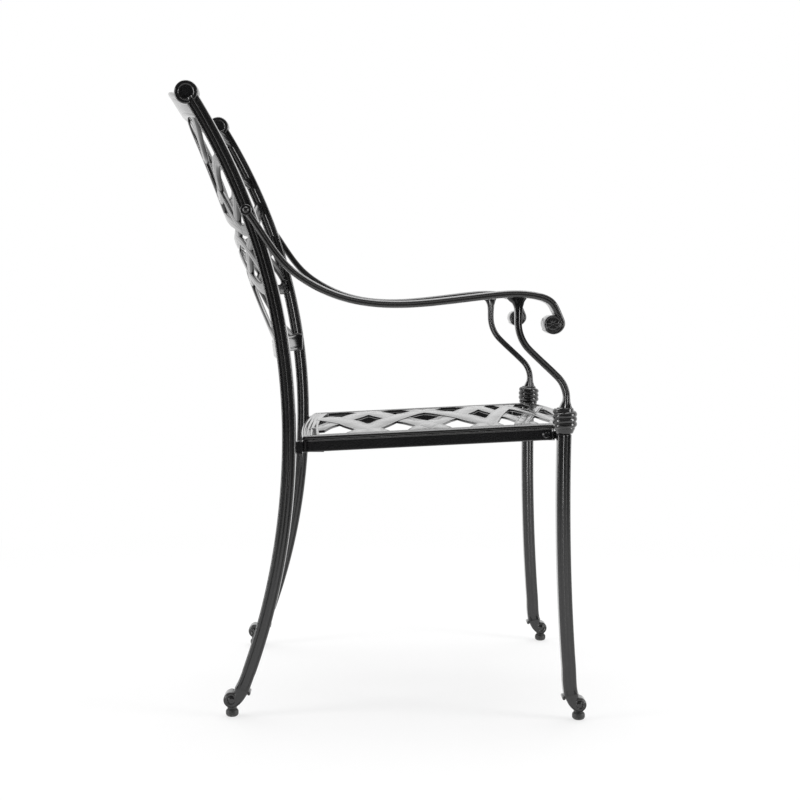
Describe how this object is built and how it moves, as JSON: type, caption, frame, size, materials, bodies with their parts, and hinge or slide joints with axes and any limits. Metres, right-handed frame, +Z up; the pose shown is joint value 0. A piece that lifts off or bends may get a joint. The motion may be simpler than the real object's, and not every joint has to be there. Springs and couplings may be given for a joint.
{
  "type": "garden armchair",
  "caption": "Cast iron garden armchair with an openwork bowed back, a diamond lattice seat, scrolled arms on S-shaped supports and levelling glides.",
  "frame": {"origin": "on the floor under the middle of the chair's bounding box", "axes": "+Z up, the chair faces -Y, +X is the sitter's left"},
  "size_m": [0.578, 0.6318, 0.931],
  "materials": {
    "painted_casting": "black gloss paint",
    "bolt_steel": "zinc plated, worn bright on the edges",
    "zinc_steel": "zinc plated",
    "glide_plastic": "satin black nylon"
  },
  "bodies": {
    "chair": {"arm_bolts": "bolt_steel", "arm_left": "painted_casting", "arm_right": "painted_casting", "arm_support_left": "painted_casting", "arm_support_right": "painted_casting", "back_panel": "painted_casting", "crest_rail": "painted_casting", "foot_inserts": "zinc_steel", "front_leg_left": "painted_casting", "front_leg_right": "painted_casting", "lower_back_rail": "painted_casting", "lower_rail_ferrules": "painted_casting", "rear_leg_left": "painted_casting", "rear_leg_right": "painted_casting", "seat_front_bolts": "bolt_steel", "seat_front_lugs": "painted_casting", "seat_front_rail": "painted_casting", "seat_panel": "painted_casting", "seat_rear_bolts": "bolt_steel", "seat_rear_lugs": "painted_casting", "seat_rear_rail": "painted_casting", "seat_side_rail_left": "painted_casting", "seat_side_rail_right": "painted_casting", "wrap_collar_left": "painted_casting", "wrap_collar_right": "painted_casting"},
    "glide_rear_right": {"glide_stud_rear_right": "zinc_steel", "glide_pad_rear_right": "glide_plastic"},
    "glide_rear_left": {"glide_stud_rear_left": "zinc_steel", "glide_pad_rear_left": "glide_plastic"},
    "glide_front_right": {"glide_stud_front_right": "zinc_steel", "glide_pad_front_right": "glide_plastic"},
    "glide_front_left": {"glide_stud_front_left": "zinc_steel", "glide_pad_front_left": "glide_plastic"}
  },
  "joints": [
    {"name": "glide_rear_right_screw", "type": "slide", "parent": "chair", "child": "glide_rear_right", "axis": [0, 0, -1], "range_m": [0, 0.006]},
    {"name": "glide_rear_left_screw", "type": "slide", "parent": "chair", "child": "glide_rear_left", "axis": [0, 0, -1], "range_m": [0, 0.006]},
    {"name": "glide_front_right_screw", "type": "slide", "parent": "chair", "child": "glide_front_right", "axis": [0, 0, -1], "range_m": [0, 0.006]},
    {"name": "glide_front_left_screw", "type": "slide", "parent": "chair", "child": "glide_front_left", "axis": [0, 0, -1], "range_m": [0, 0.006]}
  ]
}
